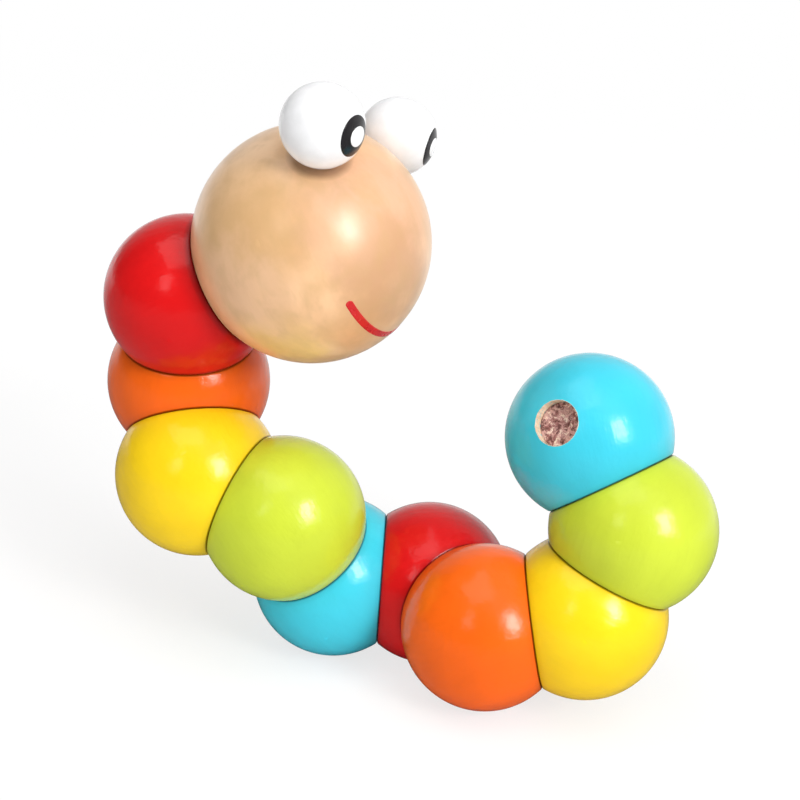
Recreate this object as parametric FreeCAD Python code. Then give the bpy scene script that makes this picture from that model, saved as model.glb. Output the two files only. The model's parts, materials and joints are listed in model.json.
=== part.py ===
"""Bendy wooden worm: a large head and ten painted balls on one taut elastic strand.

Every body ball is turned round, then sawn flat twice. The two flats are square to two bores that
meet at the ball's centre, so twisting a ball on its neighbour swings the rest of the worm round.
The worm lies here as it was last put down: three balls touch the table and the head is up.
Lengths are millimetres, angles are degrees, +Z is up and the table is at Z = 0.
"""
import FreeCAD
import Part
import math
import os
from FreeCAD import Vector

# Body balls
ball_d = 30.0            # turned ball
flat_reach = 9.0         # ball centre to each flat
bore_bends = [122.0, 129.0, 125.0, 127.0, 122.0, 124.0, 124.0, 126.0, 125.0]  # angle between the
#                          two bores of each ball, from the head on: drilled singly, so they vary
bore_d = 5.0             # bore for the elastic
drill_overrun = 1.0      # how far a cut runs on past the face or the centre that it has to open
rim_round = 0.8          # sanded edge round every flat
mouth_chamfer = 0.5      # countersink at every bore mouth
colours = ["red", "orange", "yellow", "green", "blue", "red", "orange", "yellow", "green", "blue"]

# Head and eyes
head_d = 42.0
eye_d = 14.2
eye_reach = 27.3         # head centre to eye centre
eye_rise_angle = 42.0    # how far the eyes stand above the point opposite the neck
eye_spread_angle = 38.5  # how far each eye stands to its side
dowel_d = 3.0            # peg between head and eye
dowel_in_head = 6.0
dowel_in_eye = 4.0
dowel_slack = 0.5        # free depth beyond each end of the peg
glue_gap = 0.05          # radial room for glue round pegs, bush and plug

# Elastic and what holds its two ends
strand_d = 3.0
strand_bend_r = 4.0      # radius of the strand's own bend at a ball's centre
knot_d = 7.2
knot_length = 4.5
knot_round = 1.4
bush_d = 10.0            # glued ring in the head's neck, which the knot pulls against
bush_length = 6.0
bush_recess = 0.3        # below the neck flat, clear of the first ball
chamber_slack = 2.0      # free depth behind the head's knot
tail_hole_d = 8.0
tail_hole_tilt = 108.0   # angle between the tail ball's bore and its plugged hole
tail_seat = 4.0          # tail ball's centre to the ledge that the tail knot pulls against
plug_recess = 2.0        # outer face of the plug below the hole's rim

# How the worm lies. A twist turns everything beyond a ball about the line to the next ball;
# 0 curls it back towards the ball before, 180 carries on in a zigzag.
twists = [71.0, 283.0, 256.0, 151.0, 68.0, 196.0, 68.0, 346.0]
head_twist_angle = -149.0  # from the second ball's side to the brow, about the neck
tail_twist_angle = -85.0   # from the ninth ball's side to the plugged hole, about the last joint
resting = (5, 6, 7)        # the balls on the table, counted from the head, which is 0
heading = 0.0              # direction on the table from the first resting ball to the next

ball_r = ball_d / 2
head_r = head_d / 2
eye_r = eye_d / 2
bore_r = bore_d / 2
flat_r = math.sqrt(ball_r ** 2 - flat_reach ** 2)
neck_reach = math.sqrt(head_r ** 2 - flat_r ** 2)
seat_reach = (eye_reach ** 2 + head_r ** 2 - eye_r ** 2) / (2 * eye_reach)
TAIL = len(colours)


def unit(vector):
    return vector / vector.Length


def on_cone(axis, side, tilt, turn):
    """Direction at tilt from axis, turned about axis by turn from the half plane that holds side."""
    square = unit(side - axis * side.dot(axis))
    across = axis.cross(square)
    turn, tilt = math.radians(turn), math.radians(tilt)
    return axis * math.cos(tilt) + (square * math.cos(turn) + across * math.sin(turn)) * math.sin(tilt)


def chain_centres():
    """Centres of the head and the balls, each ball's bores at its own fixed bend."""
    reach = [neck_reach + flat_reach] + [2 * flat_reach] * (TAIL - 1)
    first = Vector(0, 0, 0)
    second = Vector(reach[0], 0, 0)
    back = on_cone(Vector(-1, 0, 0), Vector(0, 1, 0), bore_bends[0], 0)
    centres = [first, second, second + back * reach[1]]
    for link, twist in enumerate(twists, start=2):
        before, last = centres[-2], centres[-1]
        step = on_cone(unit(before - last), centres[-3] - before, bore_bends[link - 1], -twist)
        centres.append(last + step * reach[link])
    return centres


def laid_on_table(centres):
    """The same centres with the three resting balls level on the table."""
    a, b, c = (centres[i] for i in resting)
    along = unit(b - a)
    up = unit(along.cross(c - b))
    if up.dot(centres[0] - a) < 0:
        up = -up
    frame = FreeCAD.Rotation(along, up.cross(along), up, "ZXY").inverted()
    turn = FreeCAD.Rotation(Vector(0, 0, 1), heading)
    lift = Vector(0, 0, ball_r)
    return [turn.multVec(frame.multVec(p - a)) + lift for p in centres]


def placed(shape, origin, x_axis, z_axis):
    shape.Placement = FreeCAD.Placement(origin, FreeCAD.Rotation(x_axis, z_axis.cross(x_axis), z_axis, "ZXY"))
    return shape


def drill(origin, axis, radius, start, end):
    return Part.makeCylinder(radius, end - start, origin + axis * start, axis)


def circles_round(shape, middle):
    """The circular edges of shape whose centre is middle."""
    edges = [e for e in shape.Edges if not e.Degenerated]
    return [e for e in edges if isinstance(e.Curve, Part.Circle) and e.Curve.Center.isEqual(middle, 1e-4)]


def sawn_flat(shape, centre, axis, reach, radius):
    """Shape with everything beyond reach along axis taken off, and the new rim sanded round."""
    shape = shape.cut(drill(centre, axis, 2 * radius, reach, reach + 2 * radius))
    return shape.makeFillet(rim_round, circles_round(shape, centre + axis * reach))


def bored(shape, centre, axis, reach):
    """Shape with a bore from its centre out through the flat at reach, countersunk at the mouth."""
    bore = drill(centre, axis, bore_r, -drill_overrun, reach + drill_overrun)
    wide = bore_r + mouth_chamfer
    mouth = centre + axis * (reach - mouth_chamfer)
    sink = Part.makeCone(bore_r, wide + mouth_chamfer, 2 * mouth_chamfer, mouth, axis)
    return shape.cut(bore).cut(sink)


def make_ball(centre, front, back):
    """Body ball with flats and bores towards the directions front and back."""
    ball = placed(Part.makeSphere(ball_r), centre, -unit(front + back), unit(front.cross(back)))
    for axis in (front, back):
        ball = sawn_flat(ball, centre, axis, flat_reach, flat_r)
    for axis in (front, back):
        ball = bored(ball, centre, axis, flat_reach)
    return ball


def make_tail_ball(centre, front, hole):
    """Last ball: one flat and bore, and the stepped hole that takes the knot and the plug."""
    ball = placed(Part.makeSphere(ball_r), centre, -unit(front + hole), unit(front.cross(hole)))
    ball = sawn_flat(ball, centre, front, flat_reach, flat_r)
    ball = bored(ball, centre, front, flat_reach)
    ball = ball.cut(drill(centre, hole, bore_r, -drill_overrun, tail_seat + drill_overrun))
    return ball.cut(drill(centre, hole, tail_hole_d / 2, tail_seat, 2 * ball_r))


def make_head(centre, neck, brow, eyes):
    """Head: neck flat, chamber for the bush and knot, and a spot-faced seat with a hole for each eye."""
    head = placed(Part.makeSphere(head_r), centre, -brow, brow.cross(neck))
    head = sawn_flat(head, centre, neck, neck_reach, flat_r)
    depth = bush_recess + bush_length + knot_length + chamber_slack
    head = head.cut(drill(centre, neck, bush_d / 2, neck_reach - depth, neck_reach + drill_overrun))
    for eye in eyes:
        head = head.cut(drill(centre, eye, eye_r, seat_reach, seat_reach + eye_r))
        bottom = seat_reach - dowel_in_head - dowel_slack
        head = head.cut(drill(centre, eye, dowel_d / 2 + glue_gap, bottom, seat_reach + drill_overrun))
    return head


def make_eye(centre, towards_head):
    """Eye ball with a small glued flat and a blind hole for its peg."""
    eye_flat = eye_reach - seat_reach
    eye = placed(Part.makeSphere(eye_r), centre, -towards_head, unit(towards_head.cross(Vector(0, 0, 1))))
    eye = eye.cut(drill(centre, towards_head, eye_r, eye_flat, eye_flat + eye_r))
    bottom = eye_flat - dowel_in_eye - dowel_slack
    return eye.cut(drill(centre, towards_head, dowel_d / 2 + glue_gap, bottom, eye_flat + drill_overrun))


def make_eye_dowel(centre, axis):
    return drill(centre, axis, dowel_d / 2, seat_reach - dowel_in_head, seat_reach + dowel_in_eye)


def make_bush(centre, neck):
    outer = neck_reach - bush_recess
    ring = drill(centre, neck, bush_d / 2 - glue_gap, outer - bush_length, outer)
    return ring.cut(drill(centre, neck, bore_r, outer - bush_length - drill_overrun, outer + drill_overrun))


def make_knot(face, axis):
    """Pulled-tight knot: a round-shouldered barrel that starts at face and grows along axis."""
    barrel = Part.makeCylinder(knot_d / 2, knot_length, face, axis)
    rims = circles_round(barrel, face) + circles_round(barrel, face + axis * knot_length)
    return barrel.makeFillet(knot_round, rims)


def make_plug(centre, hole):
    rim_reach = math.sqrt(ball_r ** 2 - (tail_hole_d / 2) ** 2)
    return drill(centre, hole, tail_hole_d / 2 - glue_gap, tail_seat + knot_length, rim_reach - plug_recess)


def make_bent_strand(centre, front, front_reach, back, back_reach):
    """Elastic through a ball: in along one bore, one round bend at the centre, out along the other."""
    half_turn = (math.pi - front.getAngle(back)) / 2
    tangent = strand_bend_r * math.tan(half_turn)
    inside = unit(front + back)
    nearest = strand_bend_r / math.cos(half_turn) - strand_bend_r
    start, bend_in = centre + front * front_reach, centre + front * tangent
    bend_out, end = centre + back * tangent, centre + back * back_reach
    arc = Part.Arc(bend_in, centre + inside * nearest, bend_out).toShape()
    path = Part.Wire([Part.makeLine(start, bend_in), arc, Part.makeLine(bend_out, end)])
    section = Part.Wire([Part.makeCircle(strand_d / 2, start, front)])
    return path.makePipeShell([section], True, True)


def make_head_strand(centre, neck):
    knot_face = neck_reach - bush_recess - bush_length
    return drill(centre, neck, strand_d / 2, knot_face, neck_reach)


def head_pieces(centres):
    """The head with its eyes, pegs, bush, knot and its stretch of the elastic."""
    centre = centres[0]
    neck = unit(centres[1] - centre)
    brow = on_cone(neck, centres[2] - centres[1], 90, head_twist_angle)
    side = brow.cross(neck)
    middle = on_cone(-neck, brow, eye_rise_angle, 0)
    eyes = {
        "right": on_cone(middle, side, eye_spread_angle, 0),
        "left": on_cone(middle, -side, eye_spread_angle, 0),
    }
    pieces = {"head": make_head(centre, neck, brow, eyes.values())}
    for name, axis in eyes.items():
        pieces["eye_" + name] = make_eye(centre + axis * eye_reach, -axis)
        pieces["eye_dowel_" + name] = make_eye_dowel(centre, axis)
    pieces["neck_bush"] = make_bush(centre, neck)
    pieces["head_knot"] = make_knot(centre + neck * (neck_reach - bush_recess - bush_length), -neck)
    pieces["elastic_head"] = make_head_strand(centre, neck)
    return pieces


def body_pieces(centres):
    """The ten balls, each with its stretch of the elastic."""
    pieces = {}
    for number in range(1, TAIL):
        centre = centres[number]
        front, back = unit(centres[number - 1] - centre), unit(centres[number + 1] - centre)
        pieces[ball_name(number)] = make_ball(centre, front, back)
        pieces[f"elastic_{number:02d}"] = make_bent_strand(centre, front, flat_reach, back, flat_reach)
    return pieces


def tail_pieces(centres):
    """The last ball with the end of the elastic, its knot and the plug over it."""
    centre = centres[TAIL]
    front = unit(centres[TAIL - 1] - centre)
    hole = on_cone(front, centres[TAIL - 2] - centres[TAIL - 1], tail_hole_tilt, tail_twist_angle)
    return {
        ball_name(TAIL): make_tail_ball(centre, front, hole),
        f"elastic_{TAIL:02d}": make_bent_strand(centre, front, flat_reach, hole, tail_seat),
        "tail_knot": make_knot(centre + hole * tail_seat, hole),
        "tail_plug": make_plug(centre, hole),
    }


def ball_name(number):
    return f"ball_{number:02d}_{colours[number - 1]}"


def main():
    centres = laid_on_table(chain_centres())
    pieces = {**head_pieces(centres), **body_pieces(centres), **tail_pieces(centres)}
    box = Part.Compound(list(pieces.values())).optimalBoundingBox(False, False)
    to_origin = Vector(-box.Center.x, -box.Center.y, -box.ZMin)
    os.makedirs("parts", exist_ok=True)
    for name, shape in pieces.items():
        shape.translated(to_origin).exportStep(f"parts/{name}.step")


main()
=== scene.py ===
"""Looks of the bendy wooden worm: gloss paint on turned balls, a lacquered head and painted eyes.

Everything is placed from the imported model. Object coordinates are the row frame at rest, in metres.
Inside the materials lengths are in millimetres, because every pattern starts from millimetre coordinates.
"""

import json
import math

import bmesh
import bpy
from mathutils import Matrix, Vector, noise


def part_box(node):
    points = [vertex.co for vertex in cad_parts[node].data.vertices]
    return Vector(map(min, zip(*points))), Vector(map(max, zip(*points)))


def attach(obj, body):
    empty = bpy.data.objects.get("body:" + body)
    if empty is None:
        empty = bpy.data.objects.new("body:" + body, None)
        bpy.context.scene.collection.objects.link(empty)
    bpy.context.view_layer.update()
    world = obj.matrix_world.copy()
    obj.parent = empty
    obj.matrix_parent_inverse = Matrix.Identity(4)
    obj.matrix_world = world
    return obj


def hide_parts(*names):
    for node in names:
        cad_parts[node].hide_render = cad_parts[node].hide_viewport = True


MM = 0.001
HEAD_R = 21.0 * MM
EYE_R = 7.1 * MM
EYE_REACH = 27.3 * MM  # middle of the head to the middle of an eye
FLAT_R = 12.0 * MM  # the flats on which the pieces meet
HOLE_R = 4.0 * MM  # the plugged hole in the last ball

# Printed and painted marks
PUPIL_THICK = 0.04 * MM
DOT_THICK = 0.07 * MM
SMILE_THICK = 0.05 * MM
SPOT_POINTS = 96
SPOT_RINGS = 12

# Degrees by which the eyes look down and outwards, from straight away from the neck
GAZE_DOWN = 39.3
GAZE_OUT = 9.2

# The smile lies on a small circle of the head. In degrees: that circle's tilt down and its radius, half the
# width of the line, and half its length round the circle
SMILE_TILT = 8.5
SMILE_RADIUS = 61.2
SMILE_HALF_WIDTH = 1.85
SMILE_HALF_TURN = 46.7
SMILE_STEPS = 40
SMILE_END_STEPS = 8

# The plug: play in its hole, how far its face is sunk, and the depth of the torn fibres
PLUG_PLAY = 0.05 * MM
PLUG_SUNK = 0.16 * MM
PLUG_TORN = 0.14 * MM
PLUG_POINTS = 72
PLUG_RINGS = 26

# Millimetres short of a flat at which the painted shade in the groove starts, at which it is darkest, and
# at which a softer band of painted shade starts
GROOVE_TOP = 0.27
GROOVE_BASE = 0.12
BAND_TOP = 1.1

# Strength of that band of painted shade, which shows most on the ball at the neck
SHADE_BAND = 0.15
NECK_SHADE_BAND = 0.9

# Degrees from an eye's axis between which painted shade darkens the wood under it
EYE_SHADE_RIM = 16.0
EYE_SHADE_CORE = 12.5

PAINTS = {
    "red": (0.67, 0.007, 0.008),
    "orange": (0.92, 0.132, 0.006),
    "yellow": (0.97, 0.65, 0.009),
    "green": (0.575, 0.68, 0.045),
    "blue": (0.052, 0.58, 0.74),
}
HEAD_PALE = (0.90, 0.56, 0.31)
HEAD_TAN = (0.77, 0.45, 0.22)
HEAD_MOTTLE = (0.62, 0.38, 0.17)
HEAD_FIGURE = (0.62, 0.35, 0.16)
HEAD_PORE = (0.50, 0.27, 0.11)
# Painted shade under the eyes
EYE_SHADE = (0.25, 0.12, 0.06)
# Painted shade in the groove where the head meets the neck ball
NECK_GROOVE_SHADE = (0.16, 0.05, 0.02)
EYE_WHITE = (0.90, 0.90, 0.91)
PUPIL_BLACK = (0.016, 0.014, 0.016)
DOT_WHITE = (0.88, 0.88, 0.88)
SMILE_RED = (0.62, 0.018, 0.022)
HOLE_PALE = (0.90, 0.75, 0.55)
HOLE_TAN = (0.72, 0.52, 0.34)
DOWEL_PALE = (0.80, 0.60, 0.40)
DOWEL_TAN = (0.60, 0.40, 0.23)
END_BROWN = (0.33, 0.13, 0.12)
END_PINK = (0.70, 0.41, 0.37)
END_CREAM = (0.92, 0.74, 0.62)
END_PORE = (0.12, 0.045, 0.04)
BRAID_GREY = (0.52, 0.49, 0.43)
BRAID_PALE = (0.84, 0.82, 0.76)

# Gloss of the paint and of the lacquer: a faint wide sheen under a clear shiny film
PAINT_GLOSS = {"IOR": 1.1, "Coat_Weight": 1.0, "Coat_Roughness": 0.17, "Coat_IOR": 1.36}
LACQUER_GLOSS = {"IOR": 1.2, "Coat_Weight": 1.0, "Coat_Roughness": 0.28, "Coat_IOR": 1.43}

# The floor, and the grey of its paper
FLOOR_HALF = 3.0
FLOOR_DROP = 0.02 * MM
PAPER = 0.90

# What the camera sees of it: paper and glow, which fade to plain white between two distances
SEEN_PAPER = 0.24
SEEN_GLOW = 0.76
FADE_FROM = 0.20
FADE_TO = 0.55

# What gloss sees of it: darker paper, and a glow that comes up between two distances along an axis
GLOSS_PAPER = 0.20
GLOSS_GLOW = 0.85
GLOSS_FROM = 0.05
GLOSS_TO = 0.20
GLOSS_AXIS = (0.3, 0.95, 0.0)

# Strength of the room's light. In the toy's gloss the room is bright towards an axis and dim in front
ROOM = 0.25
BACK_AXIS = (0.5, 0.87, 0.0)
BACK_FULL = 0.87
FRONT_GLOSS = 0.02
GLOSS_GREY = 0.8

LAMP_DISTANCE = 3.0
LAMP_TARGET = (0.0, 0.0, 0.05)
CAMERA_PLACE = (-0.00189, -0.28868, 0.17685)
CAMERA_FORWARD = (0.00078, 0.91792, -0.39677)
CAMERA_UP = (-0.0742, 0.39573, 0.91537)
CAMERA_LENS = 79.243
CAMERA_FILM = 36.0


# ---- where things are ----

def middle(node):
    low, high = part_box(node)
    return (low + high) / 2


def crossing(joint_a, joint_b):
    """Point where two joint axes meet, which is the centre of the ball between them."""
    start_a, start_b = Vector(joint_a["pos_m"]), Vector(joint_b["pos_m"])
    along_a, along_b = Vector(joint_a["axis"]), Vector(joint_b["axis"])
    across = along_a.cross(along_b)
    reach = (start_b - start_a).cross(along_b).dot(across) / across.length_squared
    return start_a + along_a * reach


def leaning(direction, towards, degrees):
    """direction turned by degrees towards another direction."""
    square = (towards - direction * towards.dot(direction)).normalized()
    angle = math.radians(degrees)
    return direction * math.cos(angle) + square * math.sin(angle)


# ---- materials ----

def scaled(colour, gain):
    return tuple(min(1.0, part * gain) for part in colour)


def rgba(colour):
    return tuple(colour) + (1.0,)


class Nodes:
    """The shader nodes of a material or world, cleared and then made one by one."""

    def __init__(self, owner):
        owner.use_nodes = True
        self.tree = owner.node_tree
        self.tree.nodes.clear()

    def add(self, kind, sockets=None, **settings):
        node = self.tree.nodes.new(kind)
        for key, value in settings.items():
            setattr(node, key, value)
        for key, value in (sockets or {}).items():
            if isinstance(value, bpy.types.NodeSocket):
                self.tree.links.new(value, node.inputs[key])
            else:
                node.inputs[key].default_value = value
        return node

    def ramp(self, value, low, high, start=0.0, end=1.0, kind="LINEAR"):
        """Change from start to end while value goes from low to high."""
        sockets = {"Value": value, "From Min": low, "From Max": high, "To Min": start, "To Max": end}
        return self.add("ShaderNodeMapRange", sockets, interpolation_type=kind).outputs["Result"]

    def math(self, operation, first, second=0.0):
        return self.add("ShaderNodeMath", {0: first, 1: second}, operation=operation).outputs[0]

    def dot(self, vector, axis):
        sockets = {0: vector, 1: tuple(axis)}
        return self.add("ShaderNodeVectorMath", sockets, operation="DOT_PRODUCT").outputs["Value"]

    def length(self, vector):
        return self.add("ShaderNodeVectorMath", {0: vector}, operation="LENGTH").outputs["Value"]

    def matt(self, grey):
        return self.add("ShaderNodeBsdfDiffuse", {"Color": rgba((grey, grey, grey))}).outputs[0]

    def glow(self, strength):
        return self.add("ShaderNodeEmission", {"Strength": strength}).outputs[0]

    def sky(self, grey, strength):
        sockets = {"Color": rgba((grey, grey, grey)), "Strength": strength}
        return self.add("ShaderNodeBackground", sockets).outputs[0]

    def both(self, first, second):
        """Sum of two shaders."""
        return self.add("ShaderNodeAddShader", {0: first, 1: second}).outputs[0]

    def choose(self, share, first, second):
        """Shader that goes from first to second as share goes from 0 to 1."""
        return self.add("ShaderNodeMixShader", {0: share, 1: first, 2: second}).outputs[0]


class Finish(Nodes):
    """A material that ends in one Principled shader and takes its patterns from millimetre coordinates."""

    def __init__(self, name):
        self.material = bpy.data.materials.new(name)
        super().__init__(self.material)
        self.place = self.mapped(self.add("ShaderNodeTexCoord").outputs["Object"], scale=(1000, 1000, 1000))

    def mapped(self, vector, place=(0, 0, 0), turn=(0, 0, 0), scale=(1, 1, 1)):
        sockets = {"Vector": vector, "Location": place, "Rotation": turn, "Scale": scale}
        return self.add("ShaderNodeMapping", sockets).outputs["Vector"]

    def around(self, centre):
        """Coordinates in millimetres from centre."""
        return self.mapped(self.place, place=tuple(-centre / MM))

    def along(self, centre, axis, stretch):
        """Millimetres from centre, with Z along axis and squeezed, so that patterns run along it."""
        turn = axis.to_track_quat("Z", "Y").inverted().to_euler()
        turned = self.mapped(self.around(centre), turn=tuple(turn))
        return self.mapped(turned, scale=(1, 1, 1 / stretch))

    def noise(self, vector, scale, detail=3.0, rough=0.55, bend=0.0):
        pattern = {"Scale": scale, "Detail": detail, "Roughness": rough, "Distortion": bend}
        return self.add("ShaderNodeTexNoise", {"Vector": vector, **pattern}).outputs["Fac"]

    def blend(self, share, first, second):
        """Colour that goes from first to second as share goes from 0 to 1."""
        sockets = {0: share, 6: first, 7: second}
        return self.add("ShaderNodeMix", sockets, data_type="RGBA").outputs[2]

    def stain(self, colour, pattern, low, high, share, tint):
        """colour with up to a share of tint over it, reached while pattern goes from low to high."""
        return self.blend(self.ramp(pattern, low, high, 0.0, share), colour, rgba(tint))

    def bump(self, height, depth_mm, below=None):
        """Normal of a relief depth_mm deep, on top of the relief below."""
        sockets = {"Height": height, "Distance": depth_mm * MM, "Strength": 1.0}
        if below is not None:
            sockets["Normal"] = below
        return self.add("ShaderNodeBump", sockets).outputs["Normal"]

    def finish(self, **sockets):
        shader = self.add("ShaderNodeBsdfPrincipled", {k.replace("_", " "): v for k, v in sockets.items()})
        self.add("ShaderNodeOutputMaterial", {"Surface": shader.outputs[0]})
        return self.material


def seam_shade_mask(made, centre, flats, top=GROOVE_TOP, base=GROOVE_BASE):
    """Mask of painted shade: 0 on the ball, rising to 1 round each flat, from top to base in millimetres
    short of it.

    flats are the vectors in metres from the ball's centre to the middles of its flats.
    """
    from_centre = made.around(centre)
    total = 0.0
    for flat in flats:
        reach = flat.length / MM
        groove = made.ramp(made.dot(from_centre, flat.normalized()), reach - top, reach - base)
        total = made.math("MAXIMUM", total, groove)
    return total


def paint_layers(made, centre, grain, colour, flats, band=SHADE_BAND):
    """Colour, roughness and normal of brushed gloss paint.

    It lets a little of the wood's grain through. Painted shade darkens it in the grooves where two balls
    meet and in a softer band beside them.
    """
    drift = made.noise(made.along(centre, grain, 1.5), 0.07, 2.0)
    tint = made.blend(made.ramp(drift, 0.35, 0.65), rgba(scaled(colour, 0.93)), rgba(scaled(colour, 1.05)))
    streaks = made.noise(made.along(centre, grain, 9.0), 1.1, 4.0, rough=0.6)
    tint = made.stain(tint, streaks, 0.5, 0.8, 0.12, scaled(colour, 0.75))
    # Painted shade: a soft dark band beside each flat, and a darker line in the groove where two balls meet
    soft_shade_band = seam_shade_mask(made, centre, flats, BAND_TOP, GROOVE_TOP)
    tint = made.stain(tint, soft_shade_band, 0.0, 1.0, band, scaled(colour, 0.4))
    tint = made.stain(tint, seam_shade_mask(made, centre, flats), 0.0, 1.0, 0.9, scaled(colour, 0.32))
    peel = made.noise(made.place, 0.55, 2.0, rough=0.5)
    gloss = made.ramp(made.noise(made.place, 0.16, 3.0), 0.3, 0.7, 0.45, 0.55)
    relief = made.bump(streaks, 0.05)
    relief = made.bump(peel, 0.07, relief)
    return tint, gloss, relief


def painted(name, centre, grain, colour, flats, band):
    made = Finish(name)
    tint, gloss, relief = paint_layers(made, centre, grain, colour, flats, band)
    return made.finish(Base_Color=tint, Roughness=gloss, Normal=relief, Coat_Normal=relief, **PAINT_GLOSS)


def bare_wood_colour(made, centre, grain, light, dark):
    fibres = made.noise(made.along(centre, grain, 12.0), 2.2, 5.0, rough=0.65)
    return made.blend(made.ramp(fibres, 0.35, 0.7), rgba(light), rgba(dark))


def tail_painted(name, centre, grain, colour, flats, hole):
    """Gloss paint outside, bare pale wood on the wall and floor of the plugged hole.

    hole is the direction from the ball's centre to the hole.
    """
    made = Finish(name)
    tint, gloss, relief = paint_layers(made, centre, grain, colour, flats)
    from_centre = made.around(centre)
    rise = made.dot(from_centre, hole)
    rise_squared = made.math("POWER", rise, 2.0)
    reach_squared = made.math("POWER", made.length(from_centre), 2.0)
    off_axis = made.math("SQRT", made.math("SUBTRACT", reach_squared, rise_squared))
    ragged = made.ramp(made.noise(made.place, 1.6, 3.0), 0.3, 0.7, -0.05, 0.09)
    rim = HOLE_R / MM
    inside = made.ramp(made.math("ADD", off_axis, ragged), rim + 0.03, rim + 0.10, 1.0, 0.0)
    inside = made.math("MULTIPLY", inside, made.ramp(rise, 0.0, 0.1))
    bare = bare_wood_colour(made, centre, hole, HOLE_PALE, HOLE_TAN)
    colours = made.blend(inside, tint, bare)
    rough = made.ramp(inside, 0.0, 1.0, 0.5, 0.8)
    return made.finish(
        Base_Color=colours, Roughness=rough, Normal=relief, Coat_Normal=relief, **PAINT_GLOSS
    )


def lacquered_head(name, centre, grain, flat, eyes, patches):
    """Pale close-grained wood under clear satin lacquer, with painted shade round the neck and under the
    eyes.

    It has soft blotches, wide tinted patches, one of them a painted sheen on the upper head, and faint
    figure.
    patches are (direction, width in degrees, colour, strength).
    """
    made = Finish(name)
    blotch = made.noise(made.along(centre, grain, 1.6), 0.11, 4.0, rough=0.5, bend=0.3)
    colour = made.blend(made.ramp(blotch, 0.38, 0.64), rgba(HEAD_PALE), rgba(HEAD_TAN))
    ways = made.mapped(made.around(centre), scale=(MM / HEAD_R, MM / HEAD_R, MM / HEAD_R))
    drift = made.ramp(made.noise(made.place, 0.16, 3.0), 0.3, 0.7, -0.05, 0.05)
    for direction, width, tint, strength in patches:
        facing = made.dot(ways, direction.normalized())
        edge = math.cos(math.radians(width))
        share = made.ramp(made.math("ADD", facing, drift), edge, 1.0, 0.0, strength, "SMOOTHERSTEP")
        colour = made.blend(share, colour, rgba(tint))
    mottle = made.noise(made.along(centre, grain, 1.4), 0.24, 3.0, rough=0.5, bend=0.4)
    colour = made.stain(colour, mottle, 0.45, 0.70, 0.42, HEAD_MOTTLE)
    figure = made.noise(made.along(centre, grain, 6.0), 0.35, 4.0, rough=0.55, bend=0.5)
    colour = made.stain(colour, figure, 0.5, 0.78, 0.22, HEAD_FIGURE)
    pores = made.noise(made.along(centre, grain, 9.0), 2.0, 3.0, rough=0.6)
    colour = made.stain(colour, pores, 0.58, 0.78, 0.08, HEAD_PORE)
    # Painted shade on the wood under each eye
    shade_rim, shade_core = (math.cos(math.radians(angle)) for angle in (EYE_SHADE_RIM, EYE_SHADE_CORE))
    for eye in eyes:
        colour = made.stain(colour, made.dot(ways, eye), shade_rim, shade_core, 0.65, EYE_SHADE)
    # Painted shade in the groove round the neck's flat
    colour = made.stain(colour, seam_shade_mask(made, centre, [flat]), 0.0, 1.0, 0.85, NECK_GROOVE_SHADE)
    relief = made.bump(pores, 0.01)
    relief = made.bump(made.noise(made.place, 0.35, 2.0), 0.05, relief)
    gloss = made.ramp(made.noise(made.place, 0.2, 3.0), 0.3, 0.7, 0.42, 0.50)
    return made.finish(
        Base_Color=colour, Roughness=gloss, Normal=relief, Coat_Normal=relief, **LACQUER_GLOSS
    )


def plain_paint(name, colour, rough, peel_mm):
    """Smooth sprayed or printed paint with a slight unevenness."""
    made = Finish(name)
    drift = made.noise(made.place, 0.35, 3.0)
    tint = made.blend(made.ramp(drift, 0.3, 0.7), rgba(scaled(colour, 0.95)), rgba(scaled(colour, 1.03)))
    relief = made.bump(made.noise(made.place, 0.8, 2.0), peel_mm)
    gloss = made.ramp(made.noise(made.place, 0.5, 2.0), 0.3, 0.7, rough * 0.9, rough * 1.2)
    return made.finish(Base_Color=tint, Roughness=gloss, Normal=relief, IOR=1.45)


def end_grain(name, centre, axis):
    """Torn end grain: coarse pink, brown and cream mottle with dark pores."""
    made = Finish(name)
    spot = made.along(centre, axis, 2.0)
    coarse = made.noise(spot, 0.6, 3.0, rough=0.7, bend=1.0)
    fine = made.noise(spot, 1.1, 3.0, rough=0.7, bend=0.8)
    colour = made.blend(made.ramp(coarse, 0.42, 0.58), rgba(END_BROWN), rgba(END_PINK))
    colour = made.stain(colour, fine, 0.54, 0.61, 0.95, END_CREAM)
    colour = made.stain(colour, fine, 0.47, 0.39, 0.9, END_PORE)
    relief = made.bump(fine, 0.3)
    return made.finish(Base_Color=colour, Roughness=0.85, Normal=relief)


def bare_wood(name, centre, grain):
    made = Finish(name)
    colour = bare_wood_colour(made, centre, grain, DOWEL_PALE, DOWEL_TAN)
    fibres = made.noise(made.along(centre, grain, 12.0), 2.5, 4.0)
    return made.finish(Base_Color=colour, Roughness=0.7, Normal=made.bump(fibres, 0.06))


def braided(name, centre, axis):
    """Round elastic with a braided cotton jacket."""
    made = Finish(name)
    spot = made.along(centre, axis, 1.0)
    twist = made.mapped(spot, turn=(0.0, 0.0, 0.6), scale=(1.0, 1.0, 0.7))
    ribs = made.add("ShaderNodeTexWave", {"Vector": twist, "Scale": 0.8, "Distortion": 1.5}).outputs["Fac"]
    colour = made.blend(ribs, rgba(BRAID_GREY), rgba(BRAID_PALE))
    return made.finish(Base_Color=colour, Roughness=0.85, Normal=made.bump(ribs, 0.12))


def wear(node, material):
    """Gives a CAD node one material in place of what it came with."""
    mesh_object = frame["nodes"][node]
    mesh_object.data.materials.clear()
    mesh_object.data.materials.append(material)


# ---- shapes ----

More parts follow.
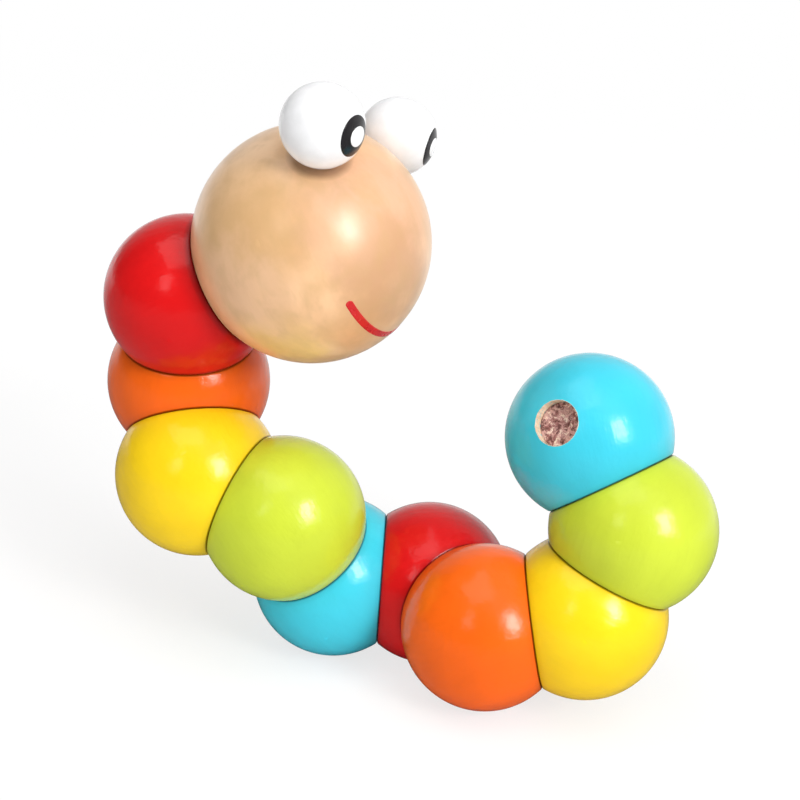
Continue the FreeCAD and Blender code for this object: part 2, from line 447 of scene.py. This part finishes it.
def new_object(name, shape, material, body):
    mesh = bpy.data.meshes.new(name)
    bmesh.ops.recalc_face_normals(shape, faces=shape.faces)
    shape.to_mesh(mesh)
    shape.free()
    for face in mesh.polygons:
        face.use_smooth = True
    mesh.materials.append(material)
    made = bpy.data.objects.new(name, mesh)
    bpy.context.scene.collection.objects.link(made)
    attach(made, body)
    return made


def close_body(shape, top, loops):
    """Faces of a closed body: a fan from top, bands from each loop of points to the next, and a base."""
    count = len(loops[0])
    for step in range(count):
        following = (step + 1) % count
        shape.faces.new((top, loops[0][step], loops[0][following]))
        for inner, outer in zip(loops, loops[1:]):
            shape.faces.new((inner[step], outer[step], outer[following], inner[following]))
    shape.faces.new(list(reversed(loops[-1])))


def film(outline, surface):
    """Closed paint film that thins out to nothing at its rim.

    outline(turn, share) gives a place on the surface for a turn of 0 to 1 and a share of the way out.
    surface(place, height) gives its point.
    """
    shape = bmesh.new()
    profile = [(ring / SPOT_RINGS, 1.0) for ring in range(1, SPOT_RINGS)]
    profile += [(0.985, 0.75), (1.0, 0.2), (1.0, -1.2)]
    loops = []
    for share, height in profile:
        spots = [surface(outline(step / SPOT_POINTS, share), height) for step in range(SPOT_POINTS)]
        loops.append([shape.verts.new(spot) for spot in spots])
    top = shape.verts.new(surface(outline(0.0, 0.0), 1.0))
    close_body(shape, top, loops)
    return shape


# ---- start ----

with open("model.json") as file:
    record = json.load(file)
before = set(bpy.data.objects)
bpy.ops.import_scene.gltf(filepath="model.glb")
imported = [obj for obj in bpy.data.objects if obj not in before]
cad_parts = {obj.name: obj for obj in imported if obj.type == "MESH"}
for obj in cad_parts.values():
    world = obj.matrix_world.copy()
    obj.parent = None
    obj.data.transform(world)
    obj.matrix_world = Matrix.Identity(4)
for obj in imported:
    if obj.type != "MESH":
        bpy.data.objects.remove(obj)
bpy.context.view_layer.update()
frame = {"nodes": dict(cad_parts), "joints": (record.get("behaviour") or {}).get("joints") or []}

joints = frame["joints"]
by_name = {joint["name"]: joint for joint in joints}
order = ["neck_twist"] + [f"twist_{number:02d}_{number + 1:02d}" for number in range(1, 10)]
chain = [by_name[name] for name in order]
ball_nodes = sorted(node for node in frame["nodes"] if node.startswith("ball_"))

neck = chain[0]
towards_head = Vector(neck["axis"])
head_centre = Vector(neck["pos_m"]) + towards_head * math.sqrt(HEAD_R**2 - FLAT_R**2)
centres = [crossing(first, second) for first, second in zip(chain, chain[1:])]
tail_joint = chain[-1]
tail_reach = (Vector(tail_joint["pos_m"]) - centres[-1]).length
centres.append(Vector(tail_joint["pos_m"]) + Vector(tail_joint["axis"]) * tail_reach)

eye_out = {side: (middle(f"eye_dowel_{side}") - head_centre).normalized() for side in ("right", "left")}
eye_centre = {side: head_centre + eye_out[side] * EYE_REACH for side in eye_out}
to_right = (eye_out["right"] - eye_out["left"]).normalized()
between_eyes = eye_out["right"] + eye_out["left"]
brow = (between_eyes - towards_head * between_eyes.dot(towards_head)).normalized()

hole_axis = (middle("tail_plug") - centres[-1]).normalized()


# ---- balls ----

for number, (node, centre) in enumerate(zip(ball_nodes, centres)):
    colour = PAINTS[node.split("_")[2]]
    near_axis = Vector(chain[number]["axis"])
    grain = leaning(near_axis, Vector((0.3, 0.2, 1.0)), 35.0 * math.sin(2.4 * number))
    flats = [Vector(joint["pos_m"]) - centre for joint in chain[number:number + 2]]
    if node == ball_nodes[-1]:
        material = tail_painted(f"paint_{node}", centre, grain, colour, flats, hole_axis)
    else:
        # The ball at the neck gets the strongest band of painted shade
        band = NECK_SHADE_BAND if node == ball_nodes[0] else SHADE_BAND
        material = painted(f"paint_{node}", centre, grain, colour, flats, band)
    wear(node, material)


# ---- head and eyes ----

def head_way(ahead, up, right):
    """Direction from the head's middle, by its shares away from the neck, to the brow and to the right."""
    return towards_head * ahead + brow * up + to_right * right


wood_and_sheen_patches = [
    # The first patch is a painted sheen: a pale lift on the upper head where the overhead lamp's sheen lies
    (head_way(-0.33, 0.74, 0.58), 48.0, (0.98, 0.68, 0.44), 0.90),
    (head_way(-0.13, 0.22, 0.97), 42.0, (0.66, 0.40, 0.18), 0.75),
    (head_way(0.89, -0.11, 0.45), 46.0, (0.80, 0.45, 0.29), 0.80),
    (head_way(0.89, -0.11, -0.45), 46.0, (0.72, 0.42, 0.20), 0.60),
    (head_way(0.71, -0.59, 0.38), 38.0, (0.60, 0.33, 0.17), 0.85),
    (head_way(-0.28, -0.78, 0.56), 30.0, (0.88, 0.56, 0.24), 0.80),
    (head_way(-0.37, -0.29, 0.88), 34.0, (0.86, 0.54, 0.33), 0.70),
    (head_way(-0.60, 0.20, -0.80), 50.0, (0.84, 0.53, 0.29), 0.70),
    (head_way(0.62, -0.03, 0.79), 32.0, (0.70, 0.41, 0.24), 0.60),
]
neck_flat = Vector(neck["pos_m"]) - head_centre
head_grain = leaning(brow, to_right, 25.0)
eyes = list(eye_out.values())
wear("head", lacquered_head("lacquered_wood_head", head_centre, head_grain, neck_flat, eyes, wood_and_sheen_patches))
white = plain_paint("white_gloss", EYE_WHITE, 0.16, 0.03)
black = plain_paint("pupil_paint", PUPIL_BLACK, 0.22, 0.02)
dot_white = plain_paint("eye_dot_paint", DOT_WHITE, 0.2, 0.02)
mouth_red = plain_paint("mouth_paint", SMILE_RED, 0.25, 0.04)


def eye_print(name, side, gaze, offset, radius, tall, thick, material):
    """Round printed spot on an eye, tall times as high as it is wide.

    gaze is the eye's forward, outward and upward directions. offset says how far outward and upward of
    forward the spot's middle is, and radius how wide it is, all in degrees round the eye's centre.
    """
    forward, outward, upward = gaze
    out, up = (math.radians(angle) for angle in offset)
    aim = (forward + outward * math.tan(out) + upward * math.tan(up)).normalized()
    spot_up = leaning(aim, upward, 90.0)
    spot_side = leaning(aim, outward, 90.0)

    def outline(turn, share):
        around = turn * math.tau
        reach = math.radians(radius) * share
        return reach * math.cos(around), reach * tall * math.sin(around)

    def surface(place, height):
        across, rise = place
        angle = math.hypot(across, rise)
        direction = aim * math.cos(angle)
        if angle > 0:
            direction = direction + (spot_side * across + spot_up * rise) * (math.sin(angle) / angle)
        return eye_centre[side] + direction * (EYE_R + height * thick)

    return new_object(name, film(outline, surface), material, "head_unit")


for side, sign in (("right", 1), ("left", -1)):
    wear(f"eye_{side}", white)
    forward = leaning(leaning(towards_head, -brow, GAZE_DOWN), to_right * sign, GAZE_OUT)
    upward = leaning(forward, brow, 90.0)
    gaze = (forward, upward.cross(forward) * sign, upward)
    pupil = eye_print(f"pupil_{side}", side, gaze, (0.0, 0.0), 28.9, 1.02, PUPIL_THICK, black)
    dot = eye_print(f"eye_dot_{side}", side, gaze, (2.1, 0.5), 16.0, 0.88, DOT_THICK, dot_white)


def smile_outline():
    """Round-ended strip, as pairs of radians along the smile's circle and radians across it."""
    half_width, half_turn = math.radians(SMILE_HALF_WIDTH), math.radians(SMILE_HALF_TURN)
    path = []
    for sign in (1, -1):
        for step in range(SMILE_STEPS):
            path.append((sign * half_turn * (1 - 2 * step / SMILE_STEPS), sign * half_width))
        for step in range(SMILE_END_STEPS):
            angle = math.pi * step / SMILE_END_STEPS
            beyond = half_turn + half_width * math.sin(angle)
            path.append((-sign * beyond, sign * half_width * math.cos(angle)))
    return path


def make_mouth():
    """Painted smile: an even line on a small circle of the head, with round ends."""
    pole = leaning(towards_head, -brow, SMILE_TILT)
    radius = math.radians(SMILE_RADIUS)
    down = leaning(pole, -brow, 90.0)
    side = down.cross(pole)

    def surface(along, across, height):
        opening = radius + across
        outward = down * math.cos(along) + side * math.sin(along)
        direction = pole * math.cos(opening) + outward * math.sin(opening)
        return head_centre + direction * (HEAD_R + height * SMILE_THICK)

    shape = bmesh.new()
    path = smile_outline()
    loops = []
    for share, height in ((0.0, 1.0), (0.45, 1.0), (0.8, 0.95), (0.94, 0.7), (1.0, 0.15), (1.0, -1.2)):
        spots = [surface(along, across * share, height) for along, across in path]
        loops.append([shape.verts.new(spot) for spot in spots])
    count = len(path)
    for inner, outer in zip(loops, loops[1:]):
        for step in range(count):
            following = (step + 1) % count
            shape.faces.new((inner[step], outer[step], outer[following], inner[following]))
    bmesh.ops.remove_doubles(shape, verts=shape.verts, dist=0.002 * MM)
    return shape


mouth = new_object("mouth", make_mouth(), mouth_red, "head_unit")


# ---- the plug in the tail ----

def make_plug():
    """Rough sawn dowel end: a round bar whose outer face is torn and uneven."""
    centre = middle("tail_plug")
    cad_points = frame["nodes"]["tail_plug"].data.vertices
    half = max((point.co - centre).dot(hole_axis) for point in cad_points)
    radius = HOLE_R - PLUG_PLAY
    side = hole_axis.orthogonal().normalized()
    up = hole_axis.cross(side)

    def spoke(step, reach):
        around = step / PLUG_POINTS * math.tau
        return side * math.cos(around) * reach + up * math.sin(around) * reach

    shape = bmesh.new()
    loops = []
    for ring in range(1, PLUG_RINGS + 1):
        reach = radius * ring / PLUG_RINGS
        calm = 1.0 - 0.6 * (ring / PLUG_RINGS) ** 6
        loop = []
        for step in range(PLUG_POINTS):
            flat = spoke(step, reach)
            torn = noise.fractal((flat / MM) * 1.3, 0.9, 2.1, 5)
            depth = -PLUG_SUNK + PLUG_TORN * max(-1.0, min(1.0, torn)) * calm
            loop.append(shape.verts.new(centre + flat + hole_axis * (half + depth)))
        loops.append(loop)
    top = shape.verts.new(centre + hole_axis * (half - PLUG_SUNK))
    back = centre - hole_axis * half
    loops.append([shape.verts.new(back + spoke(step, radius)) for step in range(PLUG_POINTS)])
    close_body(shape, top, loops)
    return shape


plug_end = middle("tail_plug")
plug = new_object("plug_end_grain", make_plug(), end_grain("end_grain", plug_end, hole_axis), "segment_10")
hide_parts("tail_plug")


# ---- what the balls hide ----

for side in ("right", "left"):
    wear(f"eye_dowel_{side}", bare_wood(f"dowel_{side}_wood", middle(f"eye_dowel_{side}"), eye_out[side]))
wear("neck_bush", bare_wood("bush_wood", middle("neck_bush"), towards_head))
wear("head_knot", braided("knot_head_elastic", middle("head_knot"), towards_head))
wear("tail_knot", braided("knot_tail_elastic", middle("tail_knot"), hole_axis))
wear("elastic_head", braided("elastic_head_jacket", head_centre, towards_head))
for number, (centre, joint) in enumerate(zip(centres, chain), 1):
    node = f"elastic_{number:02d}"
    wear(node, braided(f"{node}_jacket", centre, Vector(joint["axis"])))


# ---- stage, lamps and camera ----

def make_floor():
    """Wide sheet of white paper just under the toy.

    It lights the toy as paper does. The camera sees it lifted to white with a soft shadow, and plain white
    further off. The toy's gloss sees it dark in front and bright behind.
    """
    shape = bmesh.new()
    bmesh.ops.create_grid(shape, x_segments=4, y_segments=4, size=FLOOR_HALF)
    mesh = bpy.data.meshes.new("floor")
    shape.to_mesh(mesh)
    shape.free()
    floor = bpy.data.objects.new("floor", mesh)
    floor.location.z = -FLOOR_DROP
    bpy.context.scene.collection.objects.link(floor)
    material = bpy.data.materials.new("floor_paper")
    made = Nodes(material)
    rays = made.add("ShaderNodeLightPath").outputs
    place = made.add("ShaderNodeTexCoord").outputs["Object"]
    near = made.both(made.matt(SEEN_PAPER), made.glow(SEEN_GLOW))
    fade = made.ramp(made.length(place), FADE_FROM, FADE_TO)
    in_view = made.choose(fade, near, made.glow(1.0))
    behind = made.ramp(made.dot(place, GLOSS_AXIS), GLOSS_FROM, GLOSS_TO, 0.0, GLOSS_GLOW)
    in_gloss = made.both(made.matt(GLOSS_PAPER), made.glow(behind))
    unseen = made.choose(rays["Is Glossy Ray"], made.matt(PAPER), in_gloss)
    surface = made.choose(rays["Is Camera Ray"], unseen, in_view)
    made.add("ShaderNodeOutputMaterial", {"Surface": surface})
    mesh.materials.append(material)


def make_world():
    """White to the eye, a softer even light on the object, and a dim front half in its gloss."""
    world = bpy.data.worlds.new("studio")
    bpy.context.scene.world = world
    made = Nodes(world)
    rays = made.add("ShaderNodeLightPath").outputs
    towards_back = made.dot(made.add("ShaderNodeTexCoord").outputs["Generated"], BACK_AXIS)
    in_gloss = made.sky(GLOSS_GREY, made.ramp(towards_back, 0.0, BACK_FULL, FRONT_GLOSS, 1.0))
    unseen = made.choose(rays["Is Glossy Ray"], made.sky(1.0, ROOM), in_gloss)
    seen = made.math("MAXIMUM", rays["Is Camera Ray"], rays["Is Transmission Ray"])
    surface = made.choose(seen, unseen, made.sky(1.0, 1.0))
    made.add("ShaderNodeOutputWorld", {"Surface": surface})


def softbox(name, azimuth, elevation, wide, high, radiance, diffuse=True, glossy=True):
    """Rectangular lamp seen from the object at that direction and angular size, all in degrees."""
    turn, rise = math.radians(azimuth), math.radians(elevation)
    direction = Vector((math.sin(turn) * math.cos(rise), -math.cos(turn) * math.cos(rise), math.sin(rise)))
    lamp = bpy.data.lights.new(name, "AREA")
    lamp.shape = "RECTANGLE"
    lamp.size = 2 * LAMP_DISTANCE * math.tan(math.radians(wide / 2))
    lamp.size_y = 2 * LAMP_DISTANCE * math.tan(math.radians(high / 2))
    lamp.energy = radiance * math.pi * lamp.size * lamp.size_y
    lit = bpy.data.objects.new(name, lamp)
    lit.location = Vector(LAMP_TARGET) + direction * LAMP_DISTANCE
    lit.rotation_mode = "QUATERNION"
    lit.rotation_quaternion = direction.to_track_quat("Z", "Y")
    lit.visible_diffuse = diffuse
    lit.visible_glossy = glossy
    bpy.context.scene.collection.objects.link(lit)


def make_camera():
    """Long lens a little above the toy, rolled a few degrees."""
    forward = Vector(CAMERA_FORWARD).normalized()
    right = forward.cross(Vector(CAMERA_UP)).normalized()
    up = right.cross(forward)
    data = bpy.data.cameras.new("camera")
    data.lens = CAMERA_LENS
    data.sensor_width = CAMERA_FILM
    camera = bpy.data.objects.new("camera", data)
    turn = Matrix((right, up, -forward)).transposed().to_4x4()
    camera.matrix_world = Matrix.Translation(CAMERA_PLACE) @ turn
    bpy.context.scene.collection.objects.link(camera)
    bpy.context.scene.camera = camera


make_floor()
make_world()
softbox("key", 42, 31, 14, 22, 19.0)
softbox("fill_left", -30, 34, 12, 20, 2.8)
softbox("overhead", -76, 76, 48, 36, 1.5)
softbox("overhead_sheen", -76, 76, 48, 36, 1.4, diffuse=False)
softbox("key_halo", 43, 31, 26, 34, 4.0, diffuse=False)
softbox("high_right", 40, 62, 40, 40, 2.8, glossy=False)
make_camera()
bpy.context.scene.view_settings.view_transform = "Standard"
